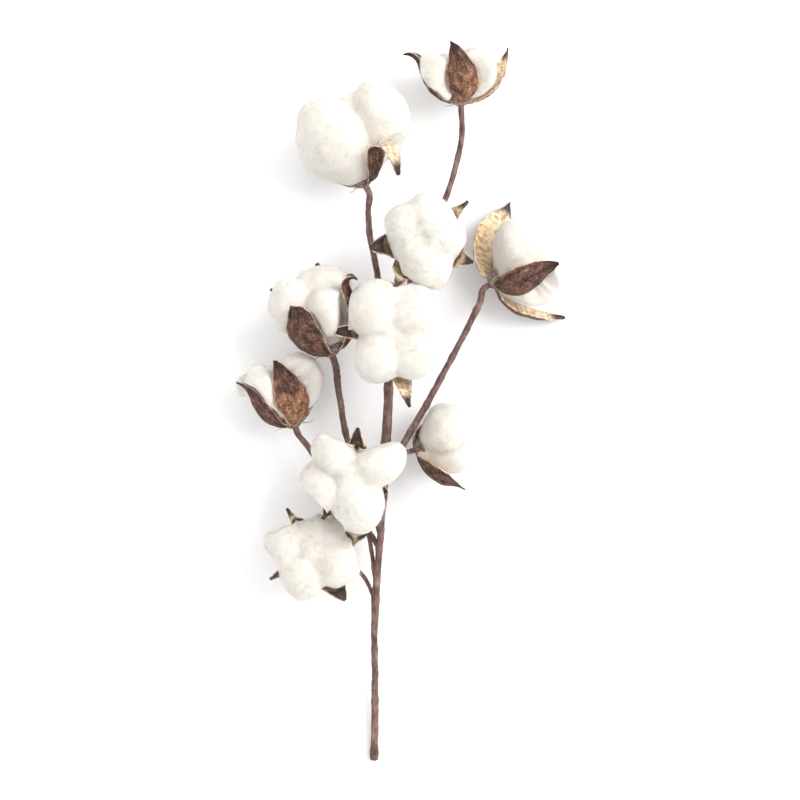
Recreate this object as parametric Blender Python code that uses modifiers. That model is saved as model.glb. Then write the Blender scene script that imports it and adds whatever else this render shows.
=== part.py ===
"""A dried cotton branch with ten open bolls, laid down on a table.

The branch is one grown piece: a main stem and a side stem to each boll.
Each boll is two pieces: the bur (a woody calyx, its bracts and four or five open valves)
and the cotton that sits in it (one puffed lock of lint between each two valves).

+Z is up. The branch runs along +Y from its cut end to its top boll, and the origin is on
the table under the middle of the branch's box. Sizes below are millimetres.
"""

import math
import random
from collections import namedtuple

import bmesh
import bpy
from mathutils import Matrix, Vector

MM = 0.001
GAP = 0.3  # between the pieces that touch
WELD = 0.00002  # metres

# ---- the bolls -------------------------------------------------------------------------
# base: where the bur sits on its stem. heading: the way the boll faces. size: 1.0 is a bur
# about 60 mm long. core: the radius of the cotton's middle. A boll's own azimuths, in degrees,
# are counted from the top of a boll that lies down, and from +X on a boll that faces up.
Boll = namedtuple("Boll", "name base heading size core valves locks")
# lean: how far the valve has opened past its half-open form. back and turn: how far its tip
# turns outwards, and from where along it. side: how far its tip leans sideways. broad: its
# width. roll: its turn about its own line.
Valve = namedtuple("Valve", "azimuth lean length back side broad turn roll", defaults=(0, 1, 0.7, 0))
# out and high: where the tuft's middle is, from the boll's axis and along it. deep, wide and
# tall: its radii outwards, round the axis and along it.
Lock = namedtuple("Lock", "azimuth out high deep wide tall")
BOLLS = (
    Boll("top", (41.4, 209.0, 33), (-0.06, 1.0, 0.0), 0.9, 17, (
        Valve(8, 0, 0.95, 25, -11), Valve(102, 14, 1.1, -25, 3, 0.6, 0.7, -30), Valve(150, 0, 0.85, 20),
        Valve(205, 0, 0.85, 20), Valve(256, 4, 1.12, 55, 0, 0.7)), (
        Lock(300, 21, 22, 16, 18, 21), Lock(50, 16, 23, 17, 16, 21), Lock(122, 16, 24, 15, 15, 20),
        Lock(178, 15, 24, 15, 15, 19), Lock(228, 14, 23, 14, 14, 18))),
    Boll("upper_left", (-24.9, 152.6, 35), (-0.42, 0.89, 0.18), 1, 22, (
        Valve(33, 12, 1.22, 75, 10, 0.52, 0.54), Valve(135, 0, 0.8, 30), Valve(200, 0, 0.9, 30),
        Valve(226, 8, 0.98, 60, 1, 0.5)), (
        Lock(322, 12, 38, 22, 24, 35), Lock(80, 31, 36, 19, 20, 30), Lock(258, 18, 33, 14, 15, 26),
        Lock(168, 21, 33, 24, 23, 28))),
    Boll("upper_middle", (13.3, 112.6, 44.5), (0.0, 0.0, 1.0), 1, 17, (
        Valve(38, 10, 0.93, 50, 1, 0.5), Valve(105, 16, 0.6, 0), Valve(186, 6, 0.87, 70, 2, 0.9),
        Valve(243, 5, 0.95, 40, -1, 0.85), Valve(332, 8, 0.93, 40, 3)), (
        Lock(133, 14, 26, 16, 17, 22), Lock(285, 17, 25, 18.5, 18, 21), Lock(70, 16, 27, 18, 18, 22),
        Lock(5, 14, 26, 16, 17, 20), Lock(205, 8, 24, 13, 14, 19))),
    Boll("right", (61.7, 84.6, 28), (0.82, 0.57, 0.0), 1.02, 17, (
        Valve(36, -8, 0.92, 15, 1), Valve(118, 32, 1.08, -28, -2, 0.9), Valve(184, -8, 0.85, 30),
        Valve(240, 13, 1.1, -8, 1, 1.15, 0.7, 30)), (
        Lock(300, 16, 30, 16, 17, 20), Lock(80, 16, 26, 17, 18, 20), Lock(158, 16, 26, 17, 17, 20),
        Lock(212, 13, 29, 15, 15, 19))),
    Boll("middle", (-4.5, 50.3, 46.5), (0.0, 0.0, 1.0), 1, 17, (
        Valve(14, 16, 0.6, 0), Valve(102, 16, 0.6, 0), Valve(178, 10, 0.92, 75, 1, 0.55),
        Valve(279, 22, 1.08, 25, 2, 0.5)), (
        Lock(128, 20, 27, 20, 20, 23), Lock(237, 19, 25, 19, 19, 21), Lock(48, 19, 27, 20, 20, 22),
        Lock(318, 19, 25, 19, 20, 21))),
    Boll("left", (-47.7, 35.4, 42), (-0.3, 0.89, 0.32), 1.1, 17, (
        Valve(68, -5, 1.12, 75, -12, 0.6, 0.76), Valve(166, 0, 1.12, 30, 0, 0.7),
        Valve(226, -6, 1, 45, 1, 0.6), Valve(322, -8, 1, 50, 7, 1.08)), (
        Lock(27, 17, 30, 16, 15.5, 16), Lock(282, 14, 39, 15, 15, 19), Lock(268, 17, 22, 14, 16, 19),
        Lock(140, 11, 36, 19, 22, 19), Lock(95, 16, 25, 14, 16, 18), Lock(195, 14, 28, 15, 17, 20))),
    Boll("far_left", (-73.5, -14.4, 31), (-0.38, 0.925, 0.0), 0.95, 17, (
        Valve(20, -6, 1, 15, -4), Valve(124, 2, 0.85, 30), Valve(232, 2, 0.9, 30, 1, 0.7),
        Valve(288, -7, 0.98, 30, 1, 0.8, 0.7, -12)), (
        Lock(66, 20, 30, 17, 18, 22), Lock(322, 16, 31, 16, 15, 23), Lock(256, 20, 33, 14, 13, 19),
        Lock(178, 16, 28, 19, 19, 21))),
    Boll("lower_middle", (-32.8, -47.6, 33), (0.0, 0.0, 1.0), 1, 17, (
        Valve(84, -3, 0.96, 50, 0, 0.6), Valve(150, 18, 0.6, 0), Valve(234, 4, 0.9, 45, 0, 0.7),
        Valve(335, 18, 0.6, 0)), (
        Lock(131, 20, 27, 17, 14, 21), Lock(29, 19, 26, 20, 15.5, 20), Lock(277, 19, 25, 20, 20, 21),
        Lock(200, 23, 23, 15, 21, 20))),
    Boll("bottom_left", (-59.4, -99.9, 12), (0.0, 0.0, 1.0), 1, 17, (
        Valve(18, 2, 0.98, 60, 1, 0.6), Valve(122, 2, 0.96, 30, 0, 0.36), Valve(211, 4, 0.95, 45, 0, 0.5),
        Valve(297, 8, 0.93, 60, 4)), (
        Lock(176, 21, 22, 16, 21, 20), Lock(126, 15, 21, 15, 17, 18), Lock(60, 14, 23, 16, 18, 19),
        Lock(335, 17, 25, 18, 20, 21), Lock(240, 20, 25, 18, 17, 21))),
    Boll("lower_right", (8.8, -30.2, 28), (0.95, 0.3, 0.0), 0.86, 17, (
        Valve(56, 28, 1.02, 10, -2), Valve(150, 0, 0.85, 30), Valve(200, -2, 0.8, 20),
        Valve(238, 16, 0.55, 0)), (
        Lock(325, 15, 28, 18, 19, 22), Lock(88, 13, 27, 16, 16, 20), Lock(170, 16, 26, 19, 18, 20),
        Lock(240, 15, 27, 17, 18, 21))),
)

# ---- one boll, upright: its base at the origin, facing +Z ------------------------------
VALVE_PROFILE = ((4.5, 2.5), (12, 5), (20.5, 13), (25.5, 25), (27.5, 37), (31, 47))  # radius, height
VALVE_HALF_WIDTHS = (3.0, 8.0, 12.4, 11.8, 7.0, 1.4)
VALVE_CUPPING = (0.4, 2.6, 4.6, 4.2, 1.8, 0.1)  # how far the edges curl in
VALVE_WALL = 0.9
VALVE_GRID = (6, 4)  # faces along and across
LINE_STEPS = 30
TURN_SPAN = 0.30  # the share of a valve over which it turns back
ROOM_GRID = (6, 1)
ROOM_GROWTH = {"inset": 1.1, "wider": 2.0, "longer": 0.02}
VALVE_WAVE = 0.7
CALYX_RADII = (3.0, 8.0)
CALYX_HEIGHT = 6.0
CALYX_SIDES = 8
BRACTS = 2
BRACT_PROFILE = ((5, 3), (11, 1.5), (17, 2.5), (22, 6.5))
BRACT_HALF_WIDTHS = (2.6, 2.0, 1.2, 0.5)
BRACT_WALL = 0.8
BRACT_GRID = (3, 1)
LOCK_GRID = (9, 6)
LOCK_ROOT = 0.70  # the share of its girth that a lock keeps at its foot
CORE_HEIGHT = 25.0
COTTON_CLEARANCE = 12.0  # kept free outside each valve
COTTON_THINNING = 0.7  # the share of its faces that the cotton keeps
JITTER = {"length": 0.03, "lock": 0.06}

# ---- the branch ------------------------------------------------------------------------
MAIN_SMOOTHNESS, SIDE_SMOOTHNESS = 2, 1  # bevel resolutions
ROUTE_STEP = 14.0
NECK = 6.0  # the straight end of a side stem, under its bur
NECK_RADIUS = 2.3
MAIN_STEM = (  # x, y, z, radius
    (-19.3, -249.9, 3.2, 2.9),
    (-18.5, -210.5, 7, 2.6),
    (-18.8, -165.3, 14, 2.4),
    (-18.0, -135.3, 20, 2.9),
    (-15.9, -106.9, 26, 2.5),
    (-12.7, -64.8, 32, 2.7),
    (-10.6, -26.5, 35, 3.4),
    (-8.9, 11.6, 36, 3.2),
    (-9.9, 46.2, 34, 2.8),
    (-16.5, 91.4, 33, 2.3),
    (-21.8, 119.2, 32, 2.2),
    (-23.1, 133.6, 31.5, 2.2),
)
SIDE_STEMS = {  # x, y, z, radius; each ends at its boll's base
    "top": (
        (-9.9, 42.8, 34, 2.0),
        (1.2, 74.1, 32, 2.0),
        (15.8, 110.2, 31, 2.1),
        (32.4, 149.2, 31, 2.1),
        (41.5, 183.8, 32, 2.1),
    ),
    "upper_left": (
        (-22.4, 125.6, 31.8, 2.1),
        (-22.9, 136.6, 32.0, 2.1),
    ),
    "upper_middle": (
        (6.0, 85.2, 31.8, 1.9),
        (10.9, 100.5, 32, 1.9),
    ),
    "right": (
        (-12.0, -55.7, 33, 2.2),
        (0.5, -28.0, 34, 2.5),
        (19.2, 4.6, 34, 2.4),
        (38.0, 39.4, 32, 2.3),
        (53.3, 69.3, 30, 2.3),
    ),
    "middle": (
        (-9.2, 25.4, 36, 1.9),
        (-8.2, 39.2, 37, 1.9),
    ),
    "left": (
        (-14.8, -87.2, 29, 1.9),
        (-27.5, -54.0, 22, 2.0),
        (-38.5, -19.7, 26, 2.2),
        (-43.9, 15.1, 32, 2.4),
    ),
    "far_left": (
        (-16.9, -96.4, 27, 1.9),
        (-31.0, -74.5, 18, 2.0),
        (-49.8, -49.9, 21, 2.2),
        (-64.2, -28.8, 28, 2.3),
    ),
    "lower_middle": (
        (-17.7, -124.7, 21, 1.6),
        (-21.5, -96.6, 23, 1.6),
        (-26.0, -75.7, 23, 1.8),
    ),
    "bottom_left": (
        (-18.4, -137.5, 19, 1.6),
        (-25.5, -120.4, 14, 1.6),
        (-39.7, -108.9, 7, 1.8),
    ),
    "lower_right": (
        (-0.9, -31.4, 33, 2.0),
        (1.9, -31.5, 31, 2.0),
    ),
}

COLOURS = {"bark": (0.20, 0.12, 0.10), "bur": (0.22, 0.12, 0.08), "lint": (0.93, 0.91, 0.87)}


# ---- the scene -------------------------------------------------------------------------
def clear_scene():
    for item in list(bpy.data.objects):
        bpy.data.objects.remove(item)


def new_collection(name):
    made = bpy.data.collections.new(name)
    bpy.context.scene.collection.children.link(made)
    return made


def new_material(name, colour, roughness):
    made = bpy.data.materials.new(name)
    made.use_nodes = True
    shader = made.node_tree.nodes["Principled BSDF"]
    shader.inputs["Base Color"].default_value = (*colour, 1.0)
    shader.inputs["Roughness"].default_value = roughness
    shader.inputs["Metallic"].default_value = 0.0
    return made


def new_object(name, mesh, home):
    made = bpy.data.objects.new(name, mesh)
    home.objects.link(made)
    return made


def evaluated_mesh(item):
    graph = bpy.context.evaluated_depsgraph_get()
    return bpy.data.meshes.new_from_object(item.evaluated_get(graph))


def bake(item):
    """Applies the object's modifiers."""
    mesh = evaluated_mesh(item)
    item.modifiers.clear()
    item.data = mesh
    return item


def boolean(item, operation, home):
    """Joins everything in the collection to the object, or cuts it away, and then removes it."""
    step = item.modifiers.new(operation.title(), "BOOLEAN")
    step.operation = operation
    step.solver = "EXACT"
    step.operand_type = "COLLECTION"
    step.collection = home
    bake(item)
    for other in list(home.objects):
        bpy.data.objects.remove(other)
    bpy.data.collections.remove(home)
    return item


def tidy(item):
    """Welds the needles that a cut can leave, and drops its loose scraps."""
    shape = bmesh.new()
    shape.from_mesh(item.data)
    bmesh.ops.remove_doubles(shape, verts=shape.verts, dist=WELD)
    bmesh.ops.dissolve_degenerate(shape, edges=shape.edges, dist=WELD)
    bmesh.ops.triangulate(shape, faces=shape.faces)
    shape.verts.ensure_lookup_table()
    left, bodies = set(shape.verts), []
    while left:
        body, front = set(), [left.pop()]
        while front:
            vert = front.pop()
            body.add(vert)
            for edge in vert.link_edges:
                other = edge.other_vert(vert)
                if other in left:
                    left.discard(other)
                    front.append(other)
        bodies.append(body)
    bodies.sort(key=len)
    for body in bodies[:-1]:
        bmesh.ops.delete(shape, geom=list(body), context="VERTS")
    shape.to_mesh(item.data)
    shape.free()


# ---- curves through stations -----------------------------------------------------------
def catmull_rom(values, t):
    """A smooth value at t through evenly spaced stations, which it passes as t goes from 0 to 1."""
    last = len(values) - 1
    at = t * last
    i = min(max(int(at), 0), last - 1)
    f = at - i
    a, b = values[max(i - 1, 0)], values[i]
    c, d = values[i + 1], values[min(i + 2, last)]
    return 0.5 * (2 * b + (c - a) * f + (2 * a - 5 * b + 4 * c - d) * f**2 + (3 * b - a - 3 * c + d) * f**3)


def along(points, t):
    """catmull_rom for a list of points."""
    return [catmull_rom([p[k] for p in points], t) for k in range(len(points[0]))]


def smooth_route(points, step):
    """Points (x, y, z, radius) every step or so, on a smooth curve through the given ones."""
    made = []
    for i in range(len(points) - 1):
        span = (Vector(points[i + 1][:3]) - Vector(points[i][:3])).length
        count = max(1, round(span / step))
        made += [along(points, (i + k / count) / (len(points) - 1)) for k in range(count)]
    return made + [list(points[-1])]


# ---- the branch ------------------------------------------------------------------------
def stem(name, points, smoothness, home):
    """A tube along the points, as a mesh with welded caps."""
    curve = bpy.data.curves.new(name, "CURVE")
    curve.dimensions = "3D"
    curve.bevel_depth = MM
    curve.bevel_resolution = smoothness
    curve.use_fill_caps = True
    spline = curve.splines.new("POLY")
    spline.points.add(len(points) - 1)
    for point, (x, y, z, radius) in zip(spline.points, points, strict=True):
        point.co = (x * MM, y * MM, z * MM, 1.0)
        point.radius = radius
    guide = new_object(name + "_guide", curve, home)
    mesh = evaluated_mesh(guide)
    bpy.data.objects.remove(guide)
    shape = bmesh.new()
    shape.from_mesh(mesh)
    bmesh.ops.remove_doubles(shape, verts=shape.verts, dist=WELD)
    bmesh.ops.recalc_face_normals(shape, faces=shape.faces)
    shape.to_mesh(mesh)
    shape.free()
    return new_object(name, mesh, home)


def side_route(boll, points):
    """The points, then the straight neck that meets the boll's base squarely."""
    base, heading = Vector(boll.base), Vector(boll.heading).normalized()
    neck = [base - heading * (NECK * boll.size), base - heading * GAP]
    return list(points) + [(*p, NECK_RADIUS * boll.size) for p in neck]


def build_branch(parts):
    branch = stem("branch", smooth_route(MAIN_STEM, ROUTE_STEP), MAIN_SMOOTHNESS, parts)
    side = new_collection("side stems")
    for boll in BOLLS:
        route = smooth_route(side_route(boll, SIDE_STEMS[boll.name]), ROUTE_STEP)
        stem("stem_" + boll.name, route, SIDE_SMOOTHNESS, side)
    return boolean(branch, "UNION", side)


# ---- the blades: valves and bracts -----------------------------------------------------
def leaned(radius, height, degrees, hinge):
    """A profile point turned outwards about the blade's hinge."""
    a = math.radians(degrees)
    r, h = radius - hinge[0], height - hinge[1]
    return hinge[0] + r * math.cos(a) + h * math.sin(a), hinge[1] - r * math.sin(a) + h * math.cos(a)


def line_of(blade):
    """The blade's lengthways line as (radius, height, outward radius, outward height), foot to tip."""
    hinge = blade["profile"][0]
    line = [leaned(*along(blade["profile"], k / LINE_STEPS), blade["lean"], hinge) for k in range(LINE_STEPS + 1)]
    made, at = [], Vector(line[0])
    for k in range(LINE_STEPS + 1):
        ahead = Vector(line[min(k + 1, LINE_STEPS)]) - Vector(line[min(k, LINE_STEPS - 1)])
        turned = min(1.0, max(0.0, (k / LINE_STEPS - blade["turn"]) / TURN_SPAN)) ** 1.2
        a = math.radians(blade["back"] * turned)
        ahead = Vector((ahead.x * math.cos(a) + ahead.y * math.sin(a), ahead.y * math.cos(a) - ahead.x * math.sin(a)))
        way = ahead.normalized()
        made.append((at.x, at.y, way.y, -way.x))
        at = at + ahead
    return made


def blade_point(blade, t, v, inset=0.0, wider=0.0):
    """A point of the blade's inner face: t runs from foot to tip, and v across, from -1 to 1."""
    at = min(max(t, 0.0), 1.0) * LINE_STEPS
    k = min(int(at), LINE_STEPS - 1)
    radius, height, out_r, out_h = (
        a + (b - a) * (at - k) for a, b in zip(blade["line"][k], blade["line"][k + 1], strict=True))
    beyond = (t - min(max(t, 0.0), 1.0)) * blade["profile"][-1][1]
    width = max(catmull_rom(blade["widths"], t) * blade["broad"], blade["widths"][-1]) + wider
    wave = blade["wave"] * math.sin(blade["phase"] + 9.0 * t + 1.3 * v) * abs(v)
    lift = -catmull_rom(blade["cupping"], t) * v * v + wave - inset
    across = width * v
    lift += across * math.sin(blade["roll"])
    across = across * math.cos(blade["roll"]) + blade["side"] * max(0.0, (t - 0.35) / 0.65) ** 2
    radius += out_r * lift - out_h * beyond
    height += out_h * lift + out_r * beyond
    return Vector((radius, across, height)) * blade["length"]


def blade_mesh(blade, grid, inset, wider, longer):
    """The blade's inner face, as a grid whose normals face out of the boll."""
    shape = bmesh.new()
    bmesh.ops.create_grid(shape, x_segments=grid[0], y_segments=grid[1], size=1.0)
    for vert in shape.verts:
        t = (vert.co.x * (1 + 2 * longer) + 1) / 2
        vert.co = blade_point(blade, t, vert.co.y, inset, wider) * MM
    bmesh.ops.recalc_face_normals(shape, faces=shape.faces)
    bmesh.ops.triangulate(shape, faces=shape.faces)
    mesh = bpy.data.meshes.new("blade")
    shape.normal_update()
    inward = sum((f.normal for f in shape.faces), Vector()).x < 0
    if inward:
        bmesh.ops.reverse_faces(shape, faces=shape.faces)
    shape.to_mesh(mesh)
    shape.free()
    return mesh


def blade_object(name, blade, azimuth, grid, wall, home, inset=0.0, wider=0.0, longer=0.0):
    """The blade as a closed shell, thickened outwards from its inner face."""
    item = new_object(name, blade_mesh(blade, grid, inset, wider, longer), home)
    shell = item.modifiers.new("Wall", "SOLIDIFY")
    shell.thickness = wall * MM
    shell.offset = 1.0
    bake(item)
    item.data.transform(Matrix.Rotation(math.radians(azimuth), 4, "Z"))
    return item


def valves_of(boll, turned=True):
    """The boll's valves: (azimuth, blade), each a little different in length and edge."""
    draw = random.Random(boll.name)
    made = []
    for valve in boll.valves:
        blade = {
            "profile": VALVE_PROFILE,
            "widths": VALVE_HALF_WIDTHS,
            "cupping": VALVE_CUPPING,
            "lean": valve.lean,
            "length": valve.length * (1 + draw.uniform(-1, 1) * JITTER["length"]),
            "wave": VALVE_WAVE,
            "phase": draw.uniform(0, math.tau),
            "back": valve.back if turned else min(0, valve.back),
            "turn": valve.turn,
            "side": valve.side,
            "broad": valve.broad,
            "roll": math.radians(valve.roll),
        }
        blade["line"] = line_of(blade)
        made.append((valve.azimuth, blade))
    return made


def bracts_of(boll):
    draw = random.Random(boll.name + " bracts")
    made = []
    for k in range(BRACTS):
        blade = {
            "profile": BRACT_PROFILE,
            "widths": BRACT_HALF_WIDTHS,
            "cupping": (0.6, 0.4, 0.2, 0.0),
            "lean": draw.uniform(-5, 20),
            "length": draw.uniform(0.8, 1.05),
            "wave": 0.0,
            "phase": 0.0,
            "back": 0,
            "turn": 1.0,
            "side": 0,
            "broad": 1,
            "roll": 0.0,
        }
        blade["line"] = line_of(blade)
        made.append((360 * (k + draw.uniform(0.1, 0.6)) / BRACTS, blade))
    return made


# ---- the bur and the cotton ------------------------------------------------------------
def calyx(name, home, grow=0.0):
    """A shallow cone that holds the valves, with its small flat foot at the origin."""
    shape = bmesh.new()
    bmesh.ops.create_cone(
        shape,
        cap_ends=True,
        segments=CALYX_SIDES,
        radius1=(CALYX_RADII[0] + grow) * MM,
        radius2=(CALYX_RADII[1] + 2 * grow) * MM,
        depth=(CALYX_HEIGHT + grow) * MM,
        matrix=Matrix.Translation((0, 0, (CALYX_HEIGHT + grow) / 2 * MM)),
    )
    mesh = bpy.data.meshes.new(name)
    shape.to_mesh(mesh)
    shape.free()
    return new_object(name, mesh, home)


def placement(boll):
    """The matrix that carries an upright boll to its place on the branch."""
    heading = Vector(boll.heading).normalized()
    start = Vector((1, 0, 0)) if heading.z > 0.7 else Vector((0, 0, 1))
    start = (start - heading * start.dot(heading)).normalized()
    turn = Matrix((start, heading.cross(start), heading)).transposed().to_4x4()
    return Matrix.Translation(Vector(boll.base) * MM) @ turn @ Matrix.Scale(boll.size, 4)


def build_bur(boll, parts):
    bur = calyx("bur_" + boll.name, parts)
    blades = new_collection("blades")
    for k, (azimuth, blade) in enumerate(valves_of(boll)):
        blade_object(f"valve_{k}", blade, azimuth, VALVE_GRID, VALVE_WALL, blades)
    for k, (azimuth, blade) in enumerate(bracts_of(boll)):
        blade_object(f"bract_{k}", blade, azimuth, BRACT_GRID, BRACT_WALL, blades)
    boolean(bur, "UNION", blades)
    tidy(bur)
    bur.data.transform(placement(boll))
    return bur


def lock_object(name, lock, draw, home):
    """One puffed lock of lint: a ball drawn in towards its foot."""
    uneven = [1 + draw.uniform(-1, 1) * JITTER["lock"] for _ in range(3)]
    shape = bmesh.new()
    bmesh.ops.create_uvsphere(shape, u_segments=LOCK_GRID[0], v_segments=LOCK_GRID[1], radius=1.0)
    for vert in shape.verts:
        x, y, z = vert.co
        girth = 1 - (1 - LOCK_ROOT) * max(0.0, -z) ** 1.5
        vert.co = Vector((
            (lock.out + lock.deep * uneven[0] * x) * girth,
            lock.wide * uneven[1] * y * girth,
            lock.high + lock.tall * uneven[2] * z,
        )) * MM
    mesh = bpy.data.meshes.new(name)
    shape.to_mesh(mesh)
    shape.free()
    mesh.transform(Matrix.Rotation(math.radians(lock.azimuth), 4, "Z"))
    return new_object(name, mesh, home)


def core_object(name, radius, home):
    """The middle of the cotton, where the locks meet."""
    shape = bmesh.new()
    place = Matrix.Translation((0, 0, CORE_HEIGHT * MM))
    bmesh.ops.create_icosphere(shape, subdivisions=1, radius=radius * MM, matrix=place)
    mesh = bpy.data.meshes.new(name)
    shape.to_mesh(mesh)
    shape.free()
    return new_object(name, mesh, home)


def table_block(home):
    """Everything under the table's top."""
    shape = bmesh.new()
    bmesh.ops.create_cube(shape, size=1.0, matrix=Matrix.Translation((0, 0, -0.5)))
    mesh = bpy.data.meshes.new("table")
    shape.to_mesh(mesh)
    shape.free()
    return new_object("table", mesh, home)


def build_cotton(boll, parts):
    draw = random.Random(boll.name + " locks")
    cotton = core_object("cotton_" + boll.name, boll.core, parts)
    locks = new_collection("locks")
    for k, lock in enumerate(boll.locks):
        lock_object(f"lock_{k}", lock, draw, locks)
    boolean(cotton, "UNION", locks)
    hollows = new_collection("hollows")
    calyx("calyx_room", hollows, grow=GAP * 2)
    for k, (azimuth, blade) in enumerate(valves_of(boll, turned=False)):
        blade_object(f"room_{k}", blade, azimuth, ROOM_GRID, COTTON_CLEARANCE, hollows, **ROOM_GROWTH)
    boolean(cotton, "DIFFERENCE", hollows)
    tidy(cotton)
    thinned = cotton.modifiers.new("Thin", "DECIMATE")
    thinned.ratio = COTTON_THINNING
    bake(cotton)
    cotton.data.transform(placement(boll))
    below = new_collection("below")
    table_block(below)
    boolean(cotton, "DIFFERENCE", below)
    tidy(cotton)
    return cotton


def box_of(item):
    corners = [vert.co for vert in item.data.vertices]
    return [(min(c[k] for c in corners), max(c[k] for c in corners)) for k in range(3)]


def make_way(cotton, others):
    """Cuts the cotton back from its bur and its neighbours, with the gap left between them."""
    near = new_collection("near")
    for other in others:
        if all(a[0] < b[1] and b[0] < a[1] for a, b in zip(box_of(cotton), box_of(other), strict=True)):
            mesh = other.data.copy()
            normals = [Vector(vert.normal) for vert in mesh.vertices]
            for vert, normal in zip(mesh.vertices, normals, strict=True):
                vert.co += normal * GAP * 1.2 * MM
            new_object("swollen", mesh, near)
    boolean(cotton, "DIFFERENCE", near)
    tidy(cotton)


def main():
    clear_scene()
    parts = new_collection("Cotton stem")
    finishes = {
        "bark": new_material("Bark", COLOURS["bark"], 0.75),
        "bur": new_material("Bur", COLOURS["bur"], 0.55),
        "lint": new_material("Lint", COLOURS["lint"], 0.95),
    }
    branch = build_branch(parts)
    branch.data.materials.append(finishes["bark"])
    burs = [build_bur(boll, parts) for boll in BOLLS]
    cottons = []
    for boll in BOLLS:
        cotton = build_cotton(boll, parts)
        make_way(cotton, burs + cottons)
        cottons.append(cotton)
    for items, finish in ((burs, "bur"), (cottons, "lint")):
        for item in items:
            item.data.materials.clear()
            item.data.materials.append(finishes[finish])


main()
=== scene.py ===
"""The cotton stem as it looks: barked stems, dry brown burs and soft white lint.

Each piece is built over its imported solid. Numbers are in millimetres unless a comment says
otherwise, and MM turns them into metres.
"""

import math
import random
from collections import namedtuple

import bpy
import numpy as np
from mathutils import Matrix, Vector, noise
from mathutils.bvhtree import BVHTree


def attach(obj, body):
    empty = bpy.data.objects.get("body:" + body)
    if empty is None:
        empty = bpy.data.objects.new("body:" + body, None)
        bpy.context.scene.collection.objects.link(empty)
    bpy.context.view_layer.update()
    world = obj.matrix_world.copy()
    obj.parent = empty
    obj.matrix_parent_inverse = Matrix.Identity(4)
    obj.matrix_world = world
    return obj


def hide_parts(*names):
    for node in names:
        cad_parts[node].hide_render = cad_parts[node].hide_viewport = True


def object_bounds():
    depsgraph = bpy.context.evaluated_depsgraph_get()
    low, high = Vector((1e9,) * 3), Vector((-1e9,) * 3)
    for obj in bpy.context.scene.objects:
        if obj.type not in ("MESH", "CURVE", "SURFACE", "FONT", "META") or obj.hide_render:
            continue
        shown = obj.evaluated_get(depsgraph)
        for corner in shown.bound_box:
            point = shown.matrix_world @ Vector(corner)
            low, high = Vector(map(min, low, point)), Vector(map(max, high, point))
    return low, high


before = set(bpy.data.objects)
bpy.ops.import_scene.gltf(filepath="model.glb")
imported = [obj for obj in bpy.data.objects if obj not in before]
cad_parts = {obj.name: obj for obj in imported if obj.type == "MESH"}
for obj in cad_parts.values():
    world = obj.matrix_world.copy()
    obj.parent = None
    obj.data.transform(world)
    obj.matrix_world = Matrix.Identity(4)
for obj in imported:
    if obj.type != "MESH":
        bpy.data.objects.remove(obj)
cad_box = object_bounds()

MM = 0.001
WELD = 0.00001  # metres
TABLE_GAP = 0.25  # between the lowest lint or husk and the table

# ---- the branch's plan --------------------------------------------------------------------
# It follows the solids' plan, with finer valve tips and, in the upper left boll, one lock moved
# and one more. base: where the bur sits on its stem. heading: the way the boll faces. size: the
# whole boll's scale. core: the radius of the lint's middle. locks: the tufts of lint round it.
Boll = namedtuple("Boll", "name base heading size core valves locks")
# azimuth: round the heading, from the top of a boll that lies down, or from +X on one that faces
# up. lean: how far the valve has opened. back and turn: how far its tip turns outwards, and from
# where along it. side: how far its tip leans sideways. spoon: how much its tip widens. roll: its
# turn about its own line. Angles are in degrees, and length and broad are scales.
Valve = namedtuple(
    "Valve", "azimuth lean length back side spoon broad turn roll", defaults=(0, 0, 1, 0.7, 0))
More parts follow.
